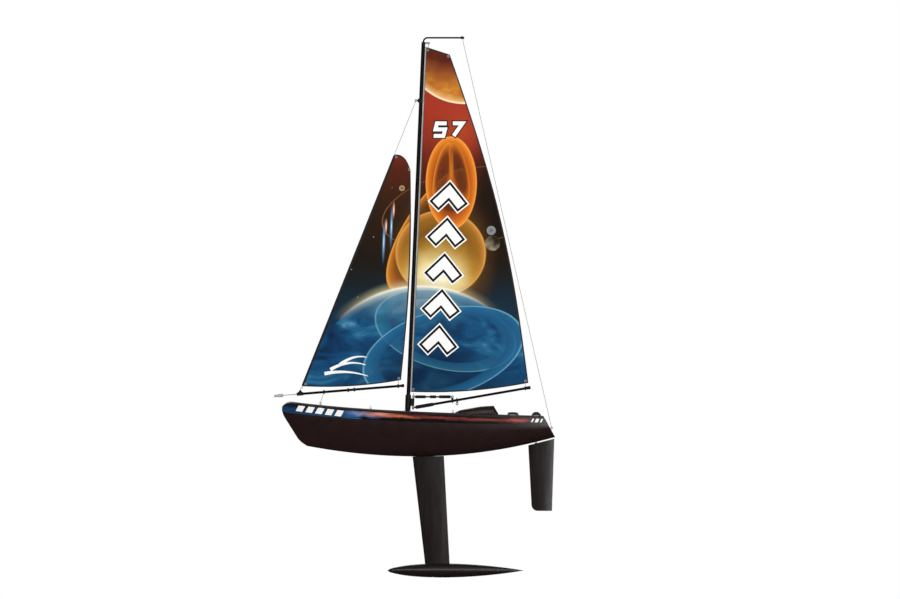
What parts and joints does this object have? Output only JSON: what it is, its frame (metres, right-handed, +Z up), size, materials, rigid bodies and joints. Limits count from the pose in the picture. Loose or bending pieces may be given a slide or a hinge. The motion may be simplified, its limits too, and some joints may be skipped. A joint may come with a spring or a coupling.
{
  "type": "radio-controlled model sailboat",
  "caption": "Small radio-controlled sailing yacht: slender hull with bulb keel and hung-under rudder, raked mast, boomed mainsail and jib, masthead crane and backstay.",
  "frame": {"origin": "on the centreline at the lowest point of the hull's bottom, just ahead of the keel fin's middle, where a cradle holds the boat", "axes": "+Z up, +X aft towards the rudder, +Y to starboard"},
  "size_m": [0.4789, 0.1178, 0.9231],
  "materials": {
    "hull_black": "gloss black moulded ABS",
    "topside_print": "gloss printed film in blue, rose and orange streaks",
    "seal_rubber": "matt black rubber",
    "steel": "bright stainless steel",
    "eye_metal": "plain satin metal",
    "foil_black": "satin black moulded nylon",
    "bulb_iron": "black painted casting",
    "inner_plastic": "matt dark plastic",
    "servo_plastic": "matt black plastic",
    "servo_arm_white": "white nylon",
    "battery_wrap": "shrink wrap over cells",
    "mast_black": "black anodised tube",
    "fitting_black": "satin black glass-filled nylon",
    "vang_metal": "black anodised",
    "stay_line": "light grey braided line",
    "main_sail_film": "printed polyester sail film",
    "jib_sail_film": "printed polyester sail film"
  },
  "bodies": {
    "hull": {"hull_shell": "hull_black", "deck_shell": "hull_black", "hull_decal_port": "topside_print", "hull_decal_starboard": "topside_print", "hatch_seal": "seal_rubber", "rudder_servo_cover": "hull_black", "rudder_cap": "hull_black", "deck_cover_screws": "steel", "jib_pivot_eye": "eye_metal", "sheet_eyes": "eye_metal", "transom_eye": "eye_metal", "keel_fin": "foil_black", "keel_trunk": "inner_plastic", "keel_stud_and_nut": "steel", "keel_bulb": "bulb_iron", "bulb_screw": "steel", "rudder_tube": "inner_plastic", "rudder_servo_case": "servo_plastic", "sail_servo_case": "servo_plastic", "servo_screws": "steel", "servo_tray": "inner_plastic", "battery_pack": "battery_wrap", "receiver": "servo_plastic", "power_switch_body": "servo_plastic", "mast_tube": "mast_black", "mast_step": "inner_plastic", "mast_foot": "fitting_black", "gooseneck_pin": "steel", "masthead_cap": "fitting_black", "mast_crane": "mast_black", "crane_cap": "fitting_black", "backstay": "stay_line", "hound_ring": "fitting_black"},
    "hatch": {"hatch_cover": "hull_black"},
    "rudder": {"rudder_blade": "foil_black", "rudder_stock": "steel", "tiller_arm": "inner_plastic"},
    "servo_horn": {"rudder_servo_horn": "servo_arm_white"},
    "pushrod": {"rudder_pushrod": "steel"},
    "sheet_arm": {"sail_servo_arm": "servo_arm_white"},
    "switch_slider": {"power_switch_slider": "servo_arm_white"},
    "main_rig": {"boom_socket": "fitting_black", "boom_tube": "mast_black", "boom_end_cap": "fitting_black", "boom_clew_ring": "seal_rubber", "main_sheet_ring": "seal_rubber", "vang_front": "fitting_black", "vang_rear": "fitting_black", "vang_clamp": "seal_rubber", "vang_pin": "steel", "main_sail": "main_sail_film", "main_sail_ties": "stay_line"},
    "vang_nut": {"vang_barrel": "vang_metal"},
    "jib_rig": {"jib_boom_tube": "mast_black", "jib_front_cap": "fitting_black", "jib_end_cap": "fitting_black", "jib_boom_rings": "seal_rubber", "jib_lines": "stay_line", "counterweight": "eye_metal", "jib_sail": "jib_sail_film"}
  },
  "joints": [
    {"name": "rudder_turn", "type": "hinge", "parent": "hull", "child": "rudder", "pos_m": [0.182, 0, 0], "axis": [0, 0, 1], "range_deg": [-35, 35]},
    {"name": "servo_horn_turn", "type": "hinge", "parent": "hull", "child": "servo_horn", "pos_m": [0.143, 0, 0.054], "axis": [0, 0, 1], "range_deg": [-35, 35]},
    {"name": "pushrod_turn", "type": "hinge", "parent": "servo_horn", "child": "pushrod", "pos_m": [0.143, 0.011, 0.057], "axis": [0, 0, 1], "range_deg": [-35, 35]},
    {"name": "sheet_arm_turn", "type": "hinge", "parent": "hull", "child": "sheet_arm", "pos_m": [0.044, 0, 0.053], "axis": [0, 0, 1], "range_deg": [-50, 50]},
    {"name": "main_boom_swing", "type": "hinge", "parent": "hull", "child": "main_rig", "pos_m": [-0.02705, 0, 0.08308], "axis": [0.0427, 0, 0.9991], "range_deg": [-80, 80]},
    {"name": "vang_nut_turn", "type": "hinge", "parent": "main_rig", "child": "vang_nut", "pos_m": [0.00674, 0, 0.10166], "axis": [1, 0, 0], "continuous": true},
    {"name": "jib_boom_swing", "type": "hinge", "parent": "hull", "child": "jib_rig", "pos_m": [-0.1848, 0, 0.09127], "axis": [0.3012, 0, 0.9535], "range_deg": [-65, 65]},
    {"name": "hatch_lift", "type": "slide", "parent": "hull", "child": "hatch", "axis": [0, 0, 1], "range_m": [0, 0.009]},
    {"name": "power_switch_slide", "type": "slide", "parent": "hull", "child": "switch_slider", "axis": [1, 0, 0], "range_m": [0, 0.004]}
  ],
  "couplings": [
    {"joint": "servo_horn_turn", "follows": "rudder_turn", "ratio": 1},
    {"joint": "pushrod_turn", "follows": "rudder_turn", "ratio": -1}
  ]
}
